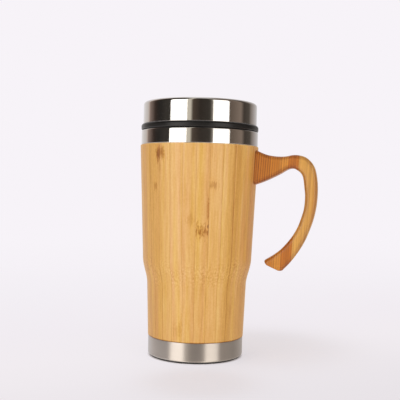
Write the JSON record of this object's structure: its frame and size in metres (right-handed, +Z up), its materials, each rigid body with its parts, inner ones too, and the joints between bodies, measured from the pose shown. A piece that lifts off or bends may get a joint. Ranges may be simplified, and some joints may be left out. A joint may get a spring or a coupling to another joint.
{
  "type": "bamboo travel mug",
  "caption": "Travel mug with a bamboo sleeve, steel liner, collar and base cap, an open bamboo handle and a push-in lid with a thumb slider.",
  "frame": {"origin": "centre of the mug's foot, on the surface that it stands on", "axes": "+Z up along the mug's axis, +X towards the handle, -Y towards the drinking hole of the lid"},
  "size_m": [0.1275, 0.0844, 0.18],
  "materials": {
    "sleeve_bamboo": "turned and clear lacquered, satin",
    "handle_bamboo": "sanded and clear lacquered, satin",
    "polished_steel": "mirror polished",
    "brushed_steel": "brushed round its axis",
    "liner_steel": "drawn and electropolished, satin",
    "screw_steel": "bright zinc plated",
    "black_plastic": "moulded, semi-gloss",
    "grey_plastic": "moulded, fine texture",
    "silicone": "moulded, matt and slightly cloudy",
    "pad_rubber": "moulded, matt"
  },
  "bodies": {
    "mug": {"bamboo_sleeve": "sleeve_bamboo", "rim_collar": "polished_steel", "inner_cup": "liner_steel", "liner_cradle": "grey_plastic", "base_cap": "brushed_steel", "foot_pad": "pad_rubber", "handle": "handle_bamboo", "handle_screws": "screw_steel"},
    "seal": {"lid_seal": "silicone"},
    "lid": {"lid_plug": "black_plastic", "lid_dish": "black_plastic", "lid_cover": "polished_steel"},
    "thumb_slider": {"slider": "black_plastic", "slider_pad": "silicone", "slider_clip": "grey_plastic"}
  },
  "joints": [
    {"name": "lid_lift", "type": "slide", "parent": "mug", "child": "seal", "axis": [0, 0, 1], "range_m": [0, 0.06]},
    {"name": "lid_turn", "type": "hinge", "parent": "seal", "child": "lid", "pos_m": [0, 0, 0.16], "axis": [0, 0, 1], "continuous": true},
    {"name": "slider_slide", "type": "slide", "parent": "lid", "child": "thumb_slider", "axis": [0, 1, 0], "range_m": [0, 0.012]}
  ]
}
